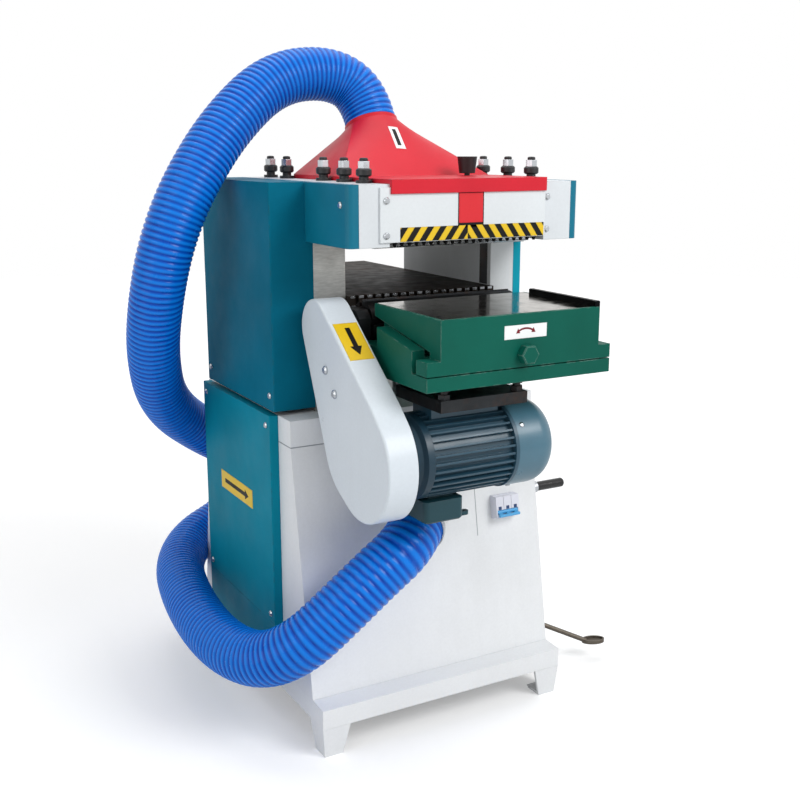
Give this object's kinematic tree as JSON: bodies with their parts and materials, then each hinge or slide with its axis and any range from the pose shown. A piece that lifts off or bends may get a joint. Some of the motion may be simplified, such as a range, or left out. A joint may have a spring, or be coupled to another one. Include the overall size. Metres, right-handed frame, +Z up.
{
  "type": "double-sided planer",
  "caption": "Floor-standing woodworking planer with cutterheads above and below the feed, powered rollers, a rising bed, a hung lower motor and a ribbed dust hose on a cabinet base.",
  "frame": {"origin": "on the floor, at the centre of the four anchor holes in the feet", "axes": "+X to the operator's right at the infeed, +Y along the feed, +Z up"},
  "size_m": [1.0779, 1.0984, 1.5019],
  "materials": {
    "white_paint": "light grey-white enamel",
    "teal_paint": "teal enamel",
    "guard_paint": "pale grey enamel",
    "red_paint": "red enamel",
    "green_paint": "green painted casting",
    "grey_casting": "white painted casting",
    "motor_paint": "dark blue-grey enamel",
    "steel": "machined steel",
    "table_steel": "ground and polished table top",
    "dark_steel": "blackened steel",
    "black_plastic": "glossy black plastic",
    "breaker_plastic": "pale moulded plastic",
    "toggle_plastic": "light blue plastic",
    "hose_plastic": "translucent blue ribbed hose",
    "belt_rubber": "black rubber"
  },
  "bodies": {
    "frame": {"base_cabinet": "white_paint", "skirt": "white_paint", "feet": "white_paint", "front_guard_panel": "white_paint", "lower_dust_port": "white_paint", "left_column": "grey_casting", "right_column": "grey_casting", "head_casting": "grey_casting", "lower_side_cover": "teal_paint", "left_column_cover": "teal_paint", "right_column_cover": "teal_paint", "head_end_covers": "teal_paint", "dust_hood": "red_paint", "upper_motor": "motor_paint", "gear_motor": "motor_paint", "cover_screws": "steel", "adjuster_screws": "steel", "kickback_shaft": "steel", "hose_clamp": "steel", "cross_members": "dark_steel", "roller_blocks": "dark_steel", "upper_cutter_bearings": "dark_steel", "chip_breaker": "dark_steel", "pressure_bar": "dark_steel", "feed_chains": "dark_steel", "adjuster_sleeves": "black_plastic", "breaker_body": "breaker_plastic", "hose": "hose_plastic", "upper_belt": "belt_rubber"},
    "bed": {"bed_saddle": "green_paint", "bed_table": "table_steel", "lower_cutter_bearings": "dark_steel", "motor_mount": "dark_steel", "lower_motor": "motor_paint", "lower_motor_bell": "motor_paint", "lower_motor_fan_cover": "motor_paint", "terminal_box": "motor_paint", "belt_guard": "guard_paint", "guard_bolts": "steel", "lower_belt": "belt_rubber", "lift_nut": "dark_steel"},
    "infeed_table": {"infeed_table": "green_paint", "infeed_top": "table_steel", "infeed_guide_bar": "dark_steel"},
    "infeed_screw": {"infeed_screw": "green_paint"},
    "lower_cutter": {"lower_cutter": "steel"},
    "lower_motor_rotor": {"lower_motor_rotor": "steel"},
    "upper_cutter": {"upper_cutter": "steel"},
    "upper_motor_rotor": {"upper_motor_rotor": "steel"},
    "infeed_roller_front": {"infeed_roller_front": "steel"},
    "infeed_roller_rear": {"infeed_roller_rear": "steel"},
    "outfeed_roller_front": {"outfeed_roller_front": "steel"},
    "outfeed_roller_rear": {"outfeed_roller_rear": "steel"},
    "crank": {"crank": "steel"},
    "crank_grip": {"crank_grip": "black_plastic"},
    "lift_screw": {"lift_screw": "steel"},
    "breaker_toggle": {"breaker_toggle": "toggle_plastic"},
    "pedal_lever": {"pedal_lever": "steel"},
    "kickback_fingers": {"kickback_fingers": "dark_steel"},
    "lock_knob": {"lock_knob": "black_plastic"}
  },
  "joints": [
    {"name": "bed_lift", "type": "slide", "parent": "frame", "child": "bed", "axis": [0, 0, 1], "range_m": [-0.01, 0.1]},
    {"name": "crank_turn", "type": "hinge", "parent": "frame", "child": "crank", "pos_m": [0.0375, -0.095, 0.46], "axis": [1, 0, 0], "range_deg": [-360, 3600]},
    {"name": "lift_screw_spin", "type": "hinge", "parent": "frame", "child": "lift_screw", "pos_m": [0.0375, -0.095, 0.46], "axis": [0, 0, 1], "range_deg": [-3600, 360]},
    {"name": "grip_spin", "type": "hinge", "parent": "crank", "child": "crank_grip", "pos_m": [0.3985, -0.215, 0.46], "axis": [1, 0, 0], "continuous": true},
    {"name": "lower_cutter_spin", "type": "hinge", "parent": "bed", "child": "lower_cutter", "pos_m": [0.0375, -0.273, 0.912], "axis": [1, 0, 0], "continuous": true},
    {"name": "lower_motor_spin", "type": "hinge", "parent": "bed", "child": "lower_motor_rotor", "pos_m": [0.0375, -0.476, 0.675], "axis": [1, 0, 0], "continuous": true},
    {"name": "upper_cutter_spin", "type": "hinge", "parent": "frame", "child": "upper_cutter", "pos_m": [0.0375, -0.035, 1.122], "axis": [1, 0, 0], "continuous": true},
    {"name": "upper_motor_spin", "type": "hinge", "parent": "frame", "child": "upper_motor_rotor", "pos_m": [0.0375, -0.035, 0.333], "axis": [1, 0, 0], "continuous": true},
    {"name": "infeed_screw_turn", "type": "hinge", "parent": "infeed_table", "child": "infeed_screw", "pos_m": [0.0445, -0.592, 0.884], "axis": [0, 1, 0], "range_deg": [-900, 540]},
    {"name": "infeed_slide", "type": "slide", "parent": "bed", "child": "infeed_table", "axis": [0, 0.9836, 0.1805], "range_m": [-0.01, 0.006]},
    {"name": "outfeed_roller_rear_spin", "type": "hinge", "parent": "frame", "child": "outfeed_roller_rear", "pos_m": [0.0375, 0.16, 1.107], "axis": [1, 0, 0], "continuous": true},
    {"name": "outfeed_roller_front_spin", "type": "hinge", "parent": "frame", "child": "outfeed_roller_front", "pos_m": [0.0375, 0.065, 1.107], "axis": [1, 0, 0], "continuous": true},
    {"name": "infeed_roller_rear_spin", "type": "hinge", "parent": "frame", "child": "infeed_roller_rear", "pos_m": [0.0375, -0.231, 1.107], "axis": [1, 0, 0], "continuous": true},
    {"name": "infeed_roller_front_spin", "type": "hinge", "parent": "frame", "child": "infeed_roller_front", "pos_m": [0.0375, -0.32, 1.107], "axis": [1, 0, 0], "continuous": true},
    {"name": "breaker_switch", "type": "hinge", "parent": "frame", "child": "breaker_toggle", "pos_m": [0.211, -0.30313, 0.44771], "axis": [1, 0, 0], "range_deg": [-70, 0]},
    {"name": "pedal_press", "type": "hinge", "parent": "frame", "child": "pedal_lever", "pos_m": [0.2875, -0.215, 0.142], "axis": [0, 1, 0], "range_deg": [0, 6], "stiffness_Nm_per_rad": 15, "springref_deg": -17.19},
    {"name": "finger_swing", "type": "hinge", "parent": "frame", "child": "kickback_fingers", "pos_m": [0.0375, -0.38, 1.14], "axis": [1, 0, 0], "range_deg": [0, 25]},
    {"name": "knob_turn", "type": "hinge", "parent": "frame", "child": "lock_knob", "pos_m": [0.14, -0.222, 1.22], "axis": [0, 0, 1], "range_deg": [0, 360]}
  ],
  "couplings": [
    {"joint": "crank_turn", "follows": "bed_lift", "rad_per_m": 628.32},
    {"joint": "lift_screw_spin", "follows": "bed_lift", "rad_per_m": -628.32},
    {"joint": "lower_motor_spin", "follows": "lower_cutter_spin", "ratio": 0.47727},
    {"joint": "upper_motor_spin", "follows": "upper_cutter_spin", "ratio": 0.44706},
    {"joint": "infeed_screw_turn", "follows": "infeed_slide", "rad_per_m": 1570.8},
    {"joint": "outfeed_roller_front_spin", "follows": "outfeed_roller_rear_spin", "ratio": 1},
    {"joint": "infeed_roller_rear_spin", "follows": "outfeed_roller_rear_spin", "ratio": 1},
    {"joint": "infeed_roller_front_spin", "follows": "outfeed_roller_rear_spin", "ratio": 1}
  ]
}
